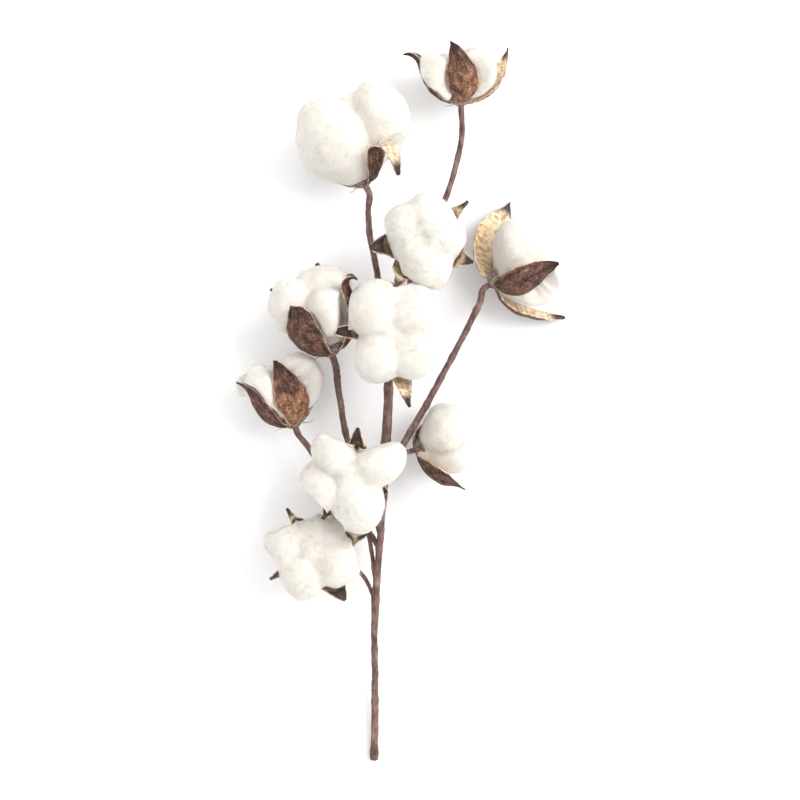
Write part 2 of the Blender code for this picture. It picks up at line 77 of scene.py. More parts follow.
# out and high: where the tuft's middle is, from the boll's axis and along it. deep, wide and
# tall: its radii outwards, round the axis and along it.
Lock = namedtuple("Lock", "azimuth out high deep wide tall")
BOLLS = (
    Boll("top", (41.4, 209.0, 33), (-0.06, 1.0, 0.0), 0.9, 17, (
        Valve(8, 0, 0.95, 25, -11), Valve(102, 14, 1.1, -25, 3, 0, 0.6, 0.7, -30), Valve(150, 0, 0.85, 20),
        Valve(205, 0, 0.85, 20), Valve(256, 4, 1.12, 55, 0, 1, 0.7)), (
        Lock(300, 21, 22, 16, 18, 21), Lock(50, 16, 23, 17, 16, 21), Lock(122, 16, 24, 15, 15, 20),
        Lock(178, 15, 24, 15, 15, 19), Lock(228, 14, 23, 14, 14, 18))),
    Boll("upper_left", (-24.9, 152.6, 35), (-0.42, 0.89, 0.18), 1.0, 22, (
        Valve(33, 12, 1.20, 165, 0, 0, 0.52, 0.49), Valve(135, 0, 0.8, 30), Valve(200, 0, 0.9, 30),
        Valve(226, 8, 0.98, 60, 1, 0, 0.5)), (
        Lock(322, 12, 38, 22, 24, 35), Lock(80, 31, 36, 19, 20, 30), Lock(258, 18, 33, 14, 15, 26),
        Lock(162, 20, 35, 23, 23, 28), Lock(100, 14, 44, 16, 18, 20))),
    Boll("upper_middle", (13.3, 112.6, 44.5), (0.0, 0.0, 1.0), 1.0, 17, (
        Valve(38, 10, 0.93, 50, 1, 0, 0.5), Valve(105, 16, 0.6, 0), Valve(186, 6, 0.87, 70, 2, 1, 0.9),
        Valve(243, 5, 0.95, 40, -1, 0, 0.85), Valve(332, 8, 0.93, 40, 3)), (
        Lock(133, 14, 26, 16, 17, 22), Lock(285, 17, 25, 18.5, 18, 21), Lock(70, 16, 27, 18, 18, 22),
        Lock(5, 14, 26, 16, 17, 20), Lock(205, 8, 24, 13, 14, 19))),
    Boll("right", (61.7, 84.6, 28), (0.82, 0.57, 0.0), 1.02, 17, (
        Valve(36, -8, 0.92, 15, 1), Valve(118, 32, 1.08, -28, -2, 0, 0.9), Valve(184, -8, 0.85, 30),
        Valve(240, 13, 1.1, -8, 1, 0, 1.15, 0.7, 30)), (
        Lock(300, 16, 30, 16, 17, 20), Lock(80, 16, 26, 17, 18, 20), Lock(158, 16, 26, 17, 17, 20),
        Lock(212, 13, 29, 15, 15, 19))),
    Boll("middle", (-4.5, 50.3, 46.5), (0.0, 0.0, 1.0), 1.0, 17, (
        Valve(14, 16, 0.6, 0), Valve(102, 16, 0.6, 0), Valve(178, 10, 0.92, 120, 1, 1, 0.55),
        Valve(279, 22, 1.08, 25, 2, 0, 0.5)), (
        Lock(128, 20, 27, 20, 20, 23), Lock(237, 19, 25, 19, 19, 21), Lock(48, 19, 27, 20, 20, 22),
        Lock(318, 19, 25, 19, 20, 21))),
    Boll("left", (-47.7, 35.4, 42), (-0.30, 0.89, 0.32), 1.1, 17, (
        Valve(68, -5, 1.12, 120, -12, 0.7, 0.6, 0.76), Valve(166, 0, 1.12, 30, 0, 0, 0.7),
        Valve(226, -6, 1.0, 45, 1, 0, 0.6), Valve(322, -8, 1.0, 50, 7, 0, 1.08)), (
        Lock(27, 17, 30, 16, 15.5, 16), Lock(282, 14, 39, 15, 15, 19), Lock(268, 17, 22, 14, 16, 19),
        Lock(140, 11, 36, 19, 22, 19), Lock(95, 16, 25, 14, 16, 18), Lock(195, 14, 28, 15, 17, 20))),
    Boll("far_left", (-73.5, -14.4, 31), (-0.38, 0.925, 0.0), 0.95, 17, (
        Valve(20, -6, 1.0, 15, -4), Valve(124, 2, 0.85, 30), Valve(232, 2, 0.9, 30, 1, 0, 0.7),
        Valve(288, -7, 0.98, 30, 1, 0, 0.8, 0.7, -12)), (
        Lock(66, 20, 30, 17, 18, 22), Lock(322, 16, 31, 16, 15, 23), Lock(256, 20, 33, 14, 13, 19),
        Lock(178, 16, 28, 19, 19, 21))),
    Boll("lower_middle", (-32.8, -47.6, 33), (0.0, 0.0, 1.0), 1.0, 17, (
        Valve(84, -3, 0.96, 50, 0, 1, 0.6), Valve(150, 18, 0.6, 0), Valve(234, 4, 0.9, 45, 0, 0.3, 0.7),
        Valve(335, 18, 0.6, 0)), (
        Lock(131, 20, 27, 17, 14, 21), Lock(29, 19, 26, 20, 15.5, 20), Lock(277, 19, 25, 20, 20, 21),
        Lock(200, 23, 23, 15, 21, 20))),
    Boll("bottom_left", (-59.4, -99.9, 12), (0.0, 0.0, 1.0), 1.0, 17, (
        Valve(18, 2, 0.98, 60, 1, 0, 0.6), Valve(122, 2, 0.96, 30, 0, 0, 0.36),
        Valve(211, 4, 0.95, 45, 0, 0, 0.5), Valve(297, 8, 0.93, 60, 4, 0.6, 1.0)), (
        Lock(176, 21, 22, 16, 21, 20), Lock(126, 15, 21, 15, 17, 18), Lock(60, 14, 23, 16, 18, 19),
        Lock(335, 17, 25, 18, 20, 21), Lock(240, 20, 25, 18, 17, 21))),
    Boll("lower_right", (8.8, -30.2, 28), (0.95, 0.30, 0.0), 0.86, 17, (
        Valve(56, 28, 1.02, 10, -2), Valve(150, 0, 0.85, 30), Valve(200, -2, 0.8, 20),
        Valve(238, 16, 0.55, 0)), (
        Lock(325, 15, 28, 18, 19, 22), Lock(88, 13, 27, 16, 16, 20), Lock(170, 16, 26, 19, 18, 20),
        Lock(240, 15, 27, 17, 18, 21))),
)
MAIN_STEM = (  # x, y, z, radius
    (-19.3, -249.9, 3.2, 2.9), (-18.5, -210.5, 7, 2.6), (-18.8, -165.3, 14, 2.4),
    (-18.0, -135.3, 20, 2.9), (-15.9, -106.9, 26, 2.5), (-12.7, -64.8, 32, 2.7),
    (-10.6, -26.5, 35, 3.4), (-8.9, 11.6, 36, 3.2), (-9.9, 46.2, 34, 2.8),
    (-16.5, 91.4, 33, 2.3), (-21.8, 119.2, 32, 2.2), (-23.1, 133.6, 31.5, 2.2),
)
SIDE_STEMS = {  # the same, each up to its boll's neck
    "top": ((-9.9, 42.8, 34, 2.0), (1.2, 74.1, 32, 2.0), (15.8, 110.2, 31, 2.1),
            (32.4, 149.2, 31, 2.1), (41.5, 183.8, 32, 2.1)),
    "upper_left": ((-22.4, 125.6, 31.8, 2.1), (-22.9, 136.6, 32.0, 2.1)),
    "upper_middle": ((6.0, 85.2, 31.8, 1.9), (10.9, 100.5, 32, 1.9)),
    "right": ((-12.0, -55.7, 33, 2.2), (0.5, -28.0, 34, 2.5), (19.2, 4.6, 34, 2.4),
              (38.0, 39.4, 32, 2.3), (53.3, 69.3, 30, 2.3)),
    "middle": ((-9.2, 25.4, 36, 1.9), (-8.2, 39.2, 37, 1.9)),
    "left": ((-14.8, -87.2, 29, 1.9), (-27.5, -54.0, 22, 2.0), (-38.5, -19.7, 26, 2.2),
             (-43.9, 15.1, 32, 2.4)),
    "far_left": ((-16.9, -96.4, 27, 1.9), (-31.0, -74.5, 18, 2.0), (-49.8, -49.9, 21, 2.2),
                 (-64.2, -28.8, 28, 2.3)),
    "lower_middle": ((-17.7, -124.7, 21, 1.6), (-21.5, -96.6, 23, 1.6), (-26.0, -75.7, 23, 1.8)),
    "bottom_left": ((-18.4, -137.5, 19, 1.6), (-25.5, -120.4, 14, 1.6), (-39.7, -108.9, 7, 1.8)),
    "lower_right": ((-0.9, -31.4, 33, 2.0), (1.9, -31.5, 31, 2.0)),
}

# ---- one valve, upright: its foot by the axis, its inner face towards the lint -------------
VALVE_PROFILE = ((4.5, 2.5), (12, 5), (20.5, 13), (25.5, 25), (27.5, 37), (31, 47))  # radius, height
VALVE_WIDTHS = (3.0, 6.0, 8.2, 10.6, 12.4, 12.6, 11.6, 9.4, 6.4, 3.2, 0.5)  # half the width, foot to tip
VALVE_CUPPING = (0.4, 1.5, 2.6, 3.6, 4.5, 4.6, 4.1, 3.1, 1.8, 0.8, 0.1)  # how far the edges curl in
SPOON_WIDTHS = (3.0, 6.0, 8.2, 10.2, 11.6, 11.8, 11.0, 9.6, 8.2, 5.2, 0.5)
SPOON_CUPPING = (0.4, 1.6, 2.6, 3.8, 4.6, 4.8, 4.8, 4.6, 4.0, 2.4, 0.2)
VALVE_GRID = (46, 22)  # faces along and across
VALVE_WALL = 0.8
VALVE_WAVE = 0.7
VALVE_SPREAD = (0.055, 0.026, 1.0)  # its length and width in metres, for its patterns
LINE_STEPS = 60
TURN_SPAN, TURN_EASE = 0.26, 1.2  # the share of a valve over which it turns back, and how softly
SIDE_START = 0.35  # how far along it starts to lean sideways
RIB_SHARE = 0.10  # the middle rib's width, as a share of half the valve
CURL_START = 0.70  # how far out from the middle the dry edge starts to curl
LENGTH_JITTER = 0.03
GOLD = {("far_left", 20): 1.15, ("top", 8): 0.60}  # how golden a valve is low down, by boll and azimuth
TIP_START, TIP_SPAN = 0.80, 0.20  # the dark end of a valve
EDGE_START, EDGE_SPAN = 0.93, 0.06  # its pale edge, across from the middle
MASK_PATCHES = 0.35  # how raggedly these run into each other

# ---- the calyx and its wisps --------------------------------------------------------------
CALYX_SIDES = 48
CALYX_FOOT = (3.0, 0.1)  # radius, height
CALYX_OUTSIDE = ((3.4, 0.1), (4.4, 0.6), (5.6, 1.8), (7.0, 3.6), (8.4, 5.6), (9.6, 7.4), (10.2, 8.6))
CALYX_INSIDE = ((9.4, 8.4), (8.0, 6.6), (6.2, 5.2))
WISPS, WISP_POINTS = 5, 5

# ---- the lint -----------------------------------------------------------------------------
CORE_HEIGHT = 25.0
ROOT_HEIGHT, ROOT_RADIUS = 15.0, 11.5  # the lint in the bottom of the bur
LOCK_ROOT = 0.70  # the share of its girth that a lock keeps at its foot
LOCK_JITTER = 0.06
LINT_VOXEL = 1.0
LUMP_DEPTH, TUFT_DEPTH = 2.6, 0.7
LOCK_ROUNDS, CREASE_SHADE_ROUNDS = 12, 18  # of smoothing: to melt the locks together, and to find the creases for the painted shade
CREASE_SHADE_START, CREASE_SHADE_SPAN = 0.05, 0.75  # the depth of a crease where its painted shade starts, and up to full painted shade
WALL_REACH, WALL_SHARE = 0.92, 0.64  # how much of a valve presses on the lint, along and across
WALL_GRID = (24, 10)
DENTS = ((1.2, 9), (0.5, 2))  # the lint's clearance inside a valve, and the smoothing after it
DENT_REACH = 16.0  # how far off a valve the lint is still pressed in
DENT_SQUARE = 0.95  # how squarely off its face that lint has to be, as a cosine
DENT_ROUNDS, DENT_FADE = 22, 0.983
FIBRES = 1200  # in each boll
FIBRE_LENGTHS, FIBRE_RADII = (3.0, 8.0), (0.045, 0.085)
FIBRE_SINK = 0.25  # how deep its ends sit in the lint
FREE_SHARE = 0.30  # of the fibres have one end loose
FIBRE_REACH, FIBRE_GAP = 6.0, 0.2  # where a fibre is tested against a valve, and how far inside it stays

# ---- the stems ----------------------------------------------------------------------------
NECK, NECK_RADIUS = 6.0, 2.3  # the straight end of a side stem, under its bur
NECK_SINK = 1.2  # how far it runs into the calyx
STEM_STEP = 2.0
SCAR_STEP, SCAR_WIDTH = 37.0, 2.2  # the low swellings where leaves stood
BARK_VOXEL, BARK_ROUNDS = 0.6, 3
RIDGE_SIZE, RIDGE_DEPTH = 2.6, 0.55
BARK_GAP = 0.3  # between the table and the bark
CUT_DEPTH = 0.3  # how far up from the cut end its pale wood shows


# ---- small helpers -----------------------------------------------------------------------
def select_only(item):
    bpy.ops.object.select_all(action="DESELECT")
    item.select_set(True)
    bpy.context.view_layer.objects.active = item


def named(item, name):
    item.name = item.data.name = name
    return item


def modify(item, kind, **values):
    """Adds a modifier with these settings and applies it."""
    made = item.modifiers.new(kind.title(), kind)
    for key, value in values.items():
        setattr(made, key, value)
    select_only(item)
    bpy.ops.object.modifier_apply(modifier=made.name)


def join(items, name):
    bpy.ops.object.select_all(action="DESELECT")
    for item in items:
        item.select_set(True)
    bpy.context.view_layer.objects.active = items[0]
    bpy.ops.object.join()
    return named(bpy.context.object, name)


def tube_of(curve):
    """The curve's tube as a closed mesh, with its caps welded on."""
    item = bpy.data.objects.new(curve.name, curve)
    bpy.context.scene.collection.objects.link(item)
    select_only(item)
    bpy.ops.object.convert(target="MESH")
    item = bpy.context.object
    select_only(item)
    bpy.ops.object.mode_set(mode="EDIT")
    bpy.ops.mesh.select_all(action="SELECT")
    bpy.ops.mesh.remove_doubles(threshold=WELD)
    bpy.ops.mesh.normals_make_consistent(inside=False)
    bpy.ops.object.mode_set(mode="OBJECT")
    return item


def points_of(mesh):
    flat = np.empty(len(mesh.vertices) * 3, np.float32)
    mesh.vertices.foreach_get("co", flat)
    return flat.reshape(-1, 3).astype(float)


def normals_of(mesh):
    flat = np.empty(len(mesh.vertices) * 3, np.float32)
    mesh.vertices.foreach_get("normal", flat)
    return flat.reshape(-1, 3).astype(float)


def set_points(mesh, points):
    mesh.vertices.foreach_set("co", np.asarray(points, np.float32).ravel())
    mesh.update()


def store(mesh, name, values):
    layer = mesh.attributes.get(name) or mesh.attributes.new(name, "FLOAT", "POINT")
    layer.data.foreach_set("value", np.asarray(values, np.float32))


def cloud_texture(name, size, depth):
    made = bpy.data.textures.new(name, "CLOUDS")
    made.noise_scale = size * MM
    made.noise_depth = depth
    return made


def between(first, second, share):
    """The numbers that lie a share of the way from the first list to the second."""
    return [a + (b - a) * share for a, b in zip(first, second, strict=True)]


def catmull_rom(values, t):
    """A smooth value at t through evenly spaced stations, which it passes as t goes from 0 to 1."""
    last = len(values) - 1
    at = t * last
    i = min(max(int(at), 0), last - 1)
    f = at - i
    a, b = values[max(i - 1, 0)], values[i]
    c, d = values[i + 1], values[min(i + 2, last)]
    return 0.5 * (2 * b + (c - a) * f + (2 * a - 5 * b + 4 * c - d) * f**2 + (3 * b - a - 3 * c + d) * f**3)


def along(points, t):
    """catmull_rom for a list of points."""
    return [catmull_rom([p[k] for p in points], t) for k in range(len(points[0]))]


def placement(boll):
    """The matrix that carries an upright boll to its place on the branch."""
    heading = Vector(boll.heading).normalized()
    start = Vector((1, 0, 0)) if heading.z > 0.7 else Vector((0, 0, 1))
    start = (start - heading * start.dot(heading)).normalized()
    turn = Matrix((start, heading.cross(start), heading)).transposed().to_4x4()
    return Matrix.Translation(Vector(boll.base) * MM) @ turn @ Matrix.Scale(boll.size, 4)


# ---- materials ---------------------------------------------------------------------------
def new_material(name, **values):
    made = bpy.data.materials.new(name)
    made.use_nodes = True
    tree = made.node_tree
    shader = tree.nodes["Principled BSDF"]
    for key, value in values.items():
        shader.inputs[key.replace("_", " ")].default_value = value
    return made, tree, shader


def add_node(tree, kind, links=(), **values):
    made = tree.nodes.new(kind)
    for key, value in values.items():
        setattr(made, key, value)
    for socket, source in dict(links).items():
        if isinstance(source, bpy.types.NodeSocket):
            tree.links.new(source, made.inputs[socket])
        else:
            made.inputs[socket].default_value = source
    return made


def ramp(tree, factor, *stops):
    """A colour ramp over the factor, from stops of (place, colour)."""
    made = tree.nodes.new("ShaderNodeValToRGB")
    while len(made.color_ramp.elements) < len(stops):
        made.color_ramp.elements.new(0.5)
    for element, (place, colour) in zip(made.color_ramp.elements, stops, strict=True):
        element.position = place
        element.color = (*colour, 1.0)
    tree.links.new(factor, made.inputs["Fac"])
    return made.outputs["Color"]


def blend_colours(tree, factor, first, second):
    """The first colour where the factor is 0, and the second where it is 1."""
    made = tree.nodes.new("ShaderNodeMix")
    made.data_type = "RGBA"
    tree.links.new(factor, made.inputs[0])
    for socket, source in ((made.inputs[6], first), (made.inputs[7], second)):
        if isinstance(source, bpy.types.NodeSocket):
            tree.links.new(source, socket)
        else:
            socket.default_value = (*source, 1.0)
    return made.outputs[2]


def math_node(tree, operation, first, second):
    return add_node(tree, "ShaderNodeMath", {0: first, 1: second}, operation=operation).outputs[0]


def make_grain():
    """A group that puts out broad patches, fine grain and small cells of a dry plant skin."""
    tree = bpy.data.node_groups.new("Dry grain", "ShaderNodeTree")
    tree.interface.new_socket("Vector", in_out="INPUT", socket_type="NodeSocketVector")
    for name, value in (("Patch scale", 120.0), ("Grain scale", 900.0), ("Cell scale", 700.0)):
        tree.interface.new_socket(name, in_out="INPUT", socket_type="NodeSocketFloat").default_value = value
    for name in ("Patches", "Grain", "Cells"):
        tree.interface.new_socket(name, in_out="OUTPUT", socket_type="NodeSocketFloat")
    start, end = tree.nodes.new("NodeGroupInput"), tree.nodes.new("NodeGroupOutput")
    vector = start.outputs["Vector"]
    patches = add_node(tree, "ShaderNodeTexNoise", {"Vector": vector, "Scale": start.outputs["Patch scale"],
                                                    "Detail": 4.0, "Roughness": 0.6})
    grain = add_node(tree, "ShaderNodeTexNoise", {"Vector": vector, "Scale": start.outputs["Grain scale"],
                                                  "Detail": 3.0, "Roughness": 0.65})
    cells = add_node(tree, "ShaderNodeTexVoronoi", {"Vector": vector, "Scale": start.outputs["Cell scale"]})
    tree.links.new(patches.outputs["Fac"], end.inputs["Patches"])
    tree.links.new(grain.outputs["Fac"], end.inputs["Grain"])
    tree.links.new(cells.outputs["Distance"], end.inputs["Cells"])
    return tree


GRAIN = make_grain()


def grain_of(tree, vector, patch, grain, cell):
    """The dry grain group's outputs, at these scales."""
    made = tree.nodes.new("ShaderNodeGroup")
    made.node_tree = GRAIN
    tree.links.new(vector, made.inputs["Vector"])
    for name, value in (("Patch scale", patch), ("Grain scale", grain), ("Cell scale", cell)):
        made.inputs[name].default_value = value
    return made.outputs


def object_place(tree, scale=(1.0, 1.0, 1.0)):
    place = tree.nodes.new("ShaderNodeTexCoord")
    made = add_node(tree, "ShaderNodeMapping", {"Vector": place.outputs["Object"], "Scale": scale})
    return made.outputs["Vector"]


def surface_place(tree, scale):
    """The valve's own UV map, stretched to its real size, in metres."""
    place = add_node(tree, "ShaderNodeUVMap", uv_map="UVMap")
    made = add_node(tree, "ShaderNodeMapping", {"Vector": place.outputs["UV"], "Scale": scale})
    return made.outputs["Vector"]


def attribute(tree, name):
    return add_node(tree, "ShaderNodeAttribute", attribute_name=name).outputs["Fac"]


def bump(tree, shader, height, distance, strength):
    made = add_node(tree, "ShaderNodeBump", {"Height": height, "Distance": distance, "Strength": strength})
    tree.links.new(made.outputs["Normal"], shader.inputs["Normal"])


def mask_of(tree, name):
    """A stored mask as a factor, kept between 0 and 1."""
    return ramp(tree, attribute(tree, name), (0.0, (0, 0, 0)), (1.0, (1, 1, 1)))


def pale_rim(tree, patches):
    """A valve's dry edge, from brown to straw in patches."""
    return ramp(tree, patches, (0.36, (0.16, 0.085, 0.055)), (0.50, (0.52, 0.36, 0.23)),
                (0.64, (0.86, 0.73, 0.55)))


def make_husk_outside():
    made, tree, shader = new_material("Husk outside", Roughness=0.6, Specular_IOR_Level=0.25)
    grain = grain_of(tree, surface_place(tree, VALVE_SPREAD), 170.0, 760.0, 900.0)
    lengthways = add_node(tree, "ShaderNodeTexNoise", {
        "Vector": surface_place(tree, (0.010, 0.026, 1.0)), "Scale": 420.0, "Detail": 3.0})
    tone = math_node(tree, "ADD", math_node(tree, "MULTIPLY", grain["Patches"], 0.75),
                     math_node(tree, "MULTIPLY", grain["Grain"], 0.60))
    tone = math_node(tree, "ADD", tone, math_node(tree, "MULTIPLY", lengthways.outputs["Fac"], 0.35))
    tone = math_node(tree, "SUBTRACT", tone, 0.17)
    skin = ramp(tree, tone, (0.52, (0.018, 0.008, 0.008)), (0.66, (0.068, 0.031, 0.025)),
                (0.77, (0.150, 0.072, 0.052)), (0.90, (0.34, 0.190, 0.125)))
    golden = ramp(tree, tone, (0.54, (0.09, 0.036, 0.018)), (0.68, (0.32, 0.150, 0.075)),
                  (0.86, (0.66, 0.39, 0.21)))
    colour = blend_colours(tree, mask_of(tree, "golden"), skin, golden)
    colour = blend_colours(tree, mask_of(tree, "dark"), colour, (0.032, 0.018, 0.016))
    colour = blend_colours(tree, mask_of(tree, "edge"), colour, pale_rim(tree, grain["Patches"]))
    tree.links.new(colour, shader.inputs["Base Color"])
    height = math_node(tree, "ADD", math_node(tree, "MULTIPLY", grain["Grain"], 0.8), grain["Cells"])
    bump(tree, shader, height, 0.0006, 1.0)
    return made


def make_husk_inside():
    made, tree, shader = new_material("Husk inside", Roughness=0.5)
    grain = grain_of(tree, surface_place(tree, VALVE_SPREAD), 160.0, 900.0, 600.0)
    ribs = add_node(tree, "ShaderNodeTexNoise", {
        "Vector": surface_place(tree, (0.055, 0.008, 1.0)), "Scale": 520.0, "Detail": 4.0,
        "Distortion": 0.4})
    tone = math_node(tree, "ADD", math_node(tree, "MULTIPLY", ribs.outputs["Fac"], 0.8),
                     math_node(tree, "MULTIPLY", grain["Patches"], 0.3))
    skin = ramp(tree, tone, (0.42, (0.40, 0.25, 0.135)), (0.53, (0.70, 0.51, 0.31)),
                (0.66, (0.92, 0.79, 0.59)))
    colour = blend_colours(tree, mask_of(tree, "tip"), skin, (0.040, 0.022, 0.018))
    colour = blend_colours(tree, mask_of(tree, "edge"), colour, pale_rim(tree, grain["Patches"]))
    tree.links.new(colour, shader.inputs["Base Color"])
    fine = math_node(tree, "MULTIPLY", grain["Grain"], 0.4)
    bump(tree, shader, math_node(tree, "ADD", ribs.outputs["Fac"], fine), 0.0005, 0.9)
    return made


def make_husk_rim():
    made, tree, shader = new_material("Husk rim", Roughness=0.7)
    grain = grain_of(tree, object_place(tree), 220.0, 1200.0, 900.0)
    tip = ramp(tree, attribute(tree, "dark"), (0.75, (0, 0, 0)), (1.0, (1, 1, 1)))
    colour = blend_colours(tree, tip, pale_rim(tree, grain["Patches"]), (0.12, 0.065, 0.045))
    tree.links.new(colour, shader.inputs["Base Color"])
    bump(tree, shader, grain["Grain"], 0.0003, 0.7)
    return made


def make_calyx_skin():
    made, tree, shader = new_material("Calyx", Roughness=0.8)
    grain = grain_of(tree, object_place(tree), 260.0, 1500.0, 620.0)
    skin = ramp(tree, grain["Patches"], (0.36, (0.045, 0.026, 0.022)), (0.52, (0.15, 0.088, 0.066)),
                (0.68, (0.34, 0.24, 0.19)))
    net = ramp(tree, grain["Cells"], (0.30, (0, 0, 0)), (0.62, (1, 1, 1)))
    colour = blend_colours(tree, math_node(tree, "MULTIPLY", net, 0.45), skin, (0.52, 0.42, 0.35))
    tree.links.new(colour, shader.inputs["Base Color"])
    bump(tree, shader, math_node(tree, "ADD", grain["Cells"], grain["Grain"]), 0.0005, 0.9)
    return made


def make_bark():
    made, tree, shader = new_material("Bark", Roughness=0.68)
    grain = grain_of(tree, object_place(tree), 90.0, 1000.0, 500.0)
    streaks = add_node(tree, "ShaderNodeTexNoise", {
        "Vector": object_place(tree, (1.0, 0.22, 1.0)), "Scale": 650.0, "Detail": 5.0, "Roughness": 0.65})
    tone = math_node(tree, "ADD", math_node(tree, "MULTIPLY", grain["Patches"], 0.55),
                     math_node(tree, "MULTIPLY", streaks.outputs["Fac"], 0.6))
    skin = ramp(tree, tone, (0.42, (0.043, 0.021, 0.017)), (0.55, (0.119, 0.063, 0.050)),
                (0.66, (0.212, 0.122, 0.100)), (0.80, (0.35, 0.220, 0.172)))
    specks = ramp(tree, grain["Cells"], (0.08, (1, 1, 1)), (0.20, (0, 0, 0)))
    colour = blend_colours(tree, math_node(tree, "MULTIPLY", specks, 0.35), skin, (0.47, 0.35, 0.28))
    tree.links.new(colour, shader.inputs["Base Color"])
    fine = math_node(tree, "MULTIPLY", grain["Grain"], 0.5)
    bump(tree, shader, math_node(tree, "ADD", streaks.outputs["Fac"], fine), 0.0005, 0.9)
    return made


def make_pith():
    made, tree, shader = new_material("Cut wood", Roughness=0.75)
    grain = grain_of(tree, object_place(tree), 400.0, 1500.0, 1200.0)
    skin = ramp(tree, grain["Patches"], (0.35, (0.38, 0.27, 0.18)), (0.65, (0.66, 0.54, 0.40)))
    tree.links.new(skin, shader.inputs["Base Color"])
    bump(tree, shader, grain["Cells"], 0.0003, 0.6)
    return made


def make_lint(name, subsurface):
    made, tree, shader = new_material(
        name, Roughness=0.95, Subsurface_Weight=subsurface, Subsurface_Scale=0.004,
        Subsurface_Radius=(1.0, 0.9, 0.75), Sheen_Weight=0.25, Sheen_Roughness=0.6, Specular_IOR_Level=0.1)
    where = object_place(tree)
    broad = add_node(tree, "ShaderNodeTexNoise", {"Vector": where, "Scale": 60.0, "Detail": 3.0})
    wisps = add_node(tree, "ShaderNodeTexNoise", {
        "Vector": where, "Scale": 520.0, "Detail": 6.0, "Roughness": 0.7, "Distortion": 1.2})
    unshaded_lint = ramp(tree, broad.outputs["Fac"], (0.35, (0.675, 0.636, 0.572)), (0.65, (0.724, 0.694, 0.643)))
    # painted shade: the lint's colour turns a warm grey down in its creases
    colour = blend_colours(tree, mask_of(tree, "fold"), unshaded_lint, (0.53, 0.465, 0.395))
    tree.links.new(colour, shader.inputs["Base Color"])
    bump(tree, shader, wisps.outputs["Fac"], 0.0009, 0.7)
    return made


FINISH = {
    "outside": make_husk_outside(),
    "inside": make_husk_inside(),
    "rim": make_husk_rim(),
    "calyx": make_calyx_skin(),
    "bark": make_bark(),
    "pith": make_pith(),
    "lint": make_lint("Lint", 0.35),
    "fibre": make_lint("Lint fibre", 0.0),
}


# ---- the valves --------------------------------------------------------------------------
def leaned(radius, height, degrees, hinge):
    """A profile point turned outwards about the valve's hinge."""
    a = math.radians(degrees)
    r, h = radius - hinge[0], height - hinge[1]
    return hinge[0] + r * math.cos(a) + h * math.sin(a), hinge[1] - r * math.sin(a) + h * math.cos(a)


def run_of(blade):
    """The valve's lengthways line as (radius, height, outward radius, outward height), foot to tip."""
    hinge = VALVE_PROFILE[0]
    profile = [along(VALVE_PROFILE, k / LINE_STEPS) for k in range(LINE_STEPS + 1)]
    line = [leaned(*place, blade["lean"], hinge) for place in profile]
    made, at = [], Vector(line[0])
    for k in range(LINE_STEPS + 1):
        ahead = Vector(line[min(k + 1, LINE_STEPS)]) - Vector(line[min(k, LINE_STEPS - 1)])
        turned = min(1.0, max(0.0, (k / LINE_STEPS - blade["turn"]) / TURN_SPAN)) ** TURN_EASE
        a = math.radians(blade["back"] * turned)
        outwards = ahead.x * math.cos(a) + ahead.y * math.sin(a)
        upwards = ahead.y * math.cos(a) - ahead.x * math.sin(a)
        ahead = Vector((outwards, upwards))
        way = ahead.normalized()
        made.append((at.x, at.y, way.y, -way.x))
        at = at + ahead
    return made


def blade_point(blade, t, v, detail=True, share=1.0):
    """A point of the valve's inner face: t runs from foot to tip, and v across, from -1 to 1.

    detail adds its ragged edges, its rib and its rough skin, and share narrows it.
    """
    at = min(max(t, 0.0), 1.0) * LINE_STEPS
    k = min(int(at), LINE_STEPS - 1)
    radius, height, out_r, out_h = between(blade["line"][k], blade["line"][k + 1], at - k)
    width = max(catmull_rom(blade["widths"], t), blade["widths"][-1])
    lift = -catmull_rom(blade["cupping"], t) * v * v
    lift += VALVE_WAVE * math.sin(blade["phase"] + 9.0 * t + 1.3 * v) * abs(v)
    sideways = blade["side"] * max(0.0, (t - SIDE_START) / (1 - SIDE_START)) ** 2
    if detail:
        seed = blade["phase"] * 10
        width *= 1 + 0.07 * noise.noise((t * 9, v * 1.5, seed))
        lift += 0.40 * noise.noise((t * 10, v * 4, seed + 5))
        lift += 0.25 * noise.noise((t * 26, v * 9, seed + 9))
        rib = math.exp(-((v / RIB_SHARE) ** 2)) * math.sin(math.pi * min(1.0, t * 1.1)) ** 0.7
        curl = (max(0.0, abs(v) - CURL_START) / (1 - CURL_START)) ** 2
        curl *= math.sin(math.pi * min(1.0, 0.12 + t))
        lift += blade["curl"] * curl - blade["rib"] * rib
    across = width * v * share
    lift += across * math.sin(blade["roll"])
    across *= math.cos(blade["roll"])
    return Vector((radius + out_r * lift, across + sideways, height + out_h * lift)) * blade["length"]


def valves_of(boll):
    """The boll's valves as (azimuth, blade), each a little different in length, edge and colour."""
    draw, more = random.Random(boll.name), random.Random(boll.name + " edges")
    made = []
    for valve in boll.valves:
        widths = between(VALVE_WIDTHS, SPOON_WIDTHS, valve.spoon)
        blade = {
            "lean": valve.lean,
            "back": valve.back,
            "turn": valve.turn,
            "side": valve.side,
            "spoon": valve.spoon,
            "roll": math.radians(valve.roll),
            "widths": [width * valve.broad for width in widths],
            "cupping": between(VALVE_CUPPING, SPOON_CUPPING, valve.spoon),
            "length": valve.length * (1 + draw.uniform(-1, 1) * LENGTH_JITTER),
            "phase": draw.uniform(0, math.tau),
            "rib": more.uniform(0.5, 1.0),
            "curl": more.uniform(0.6, 1.6),
            "gold": more.uniform(-0.10, 0.20) + GOLD.get((boll.name, valve.azimuth), 0.0),
        }
        blade["line"] = run_of(blade)
        made.append((valve.azimuth, blade))
    return made


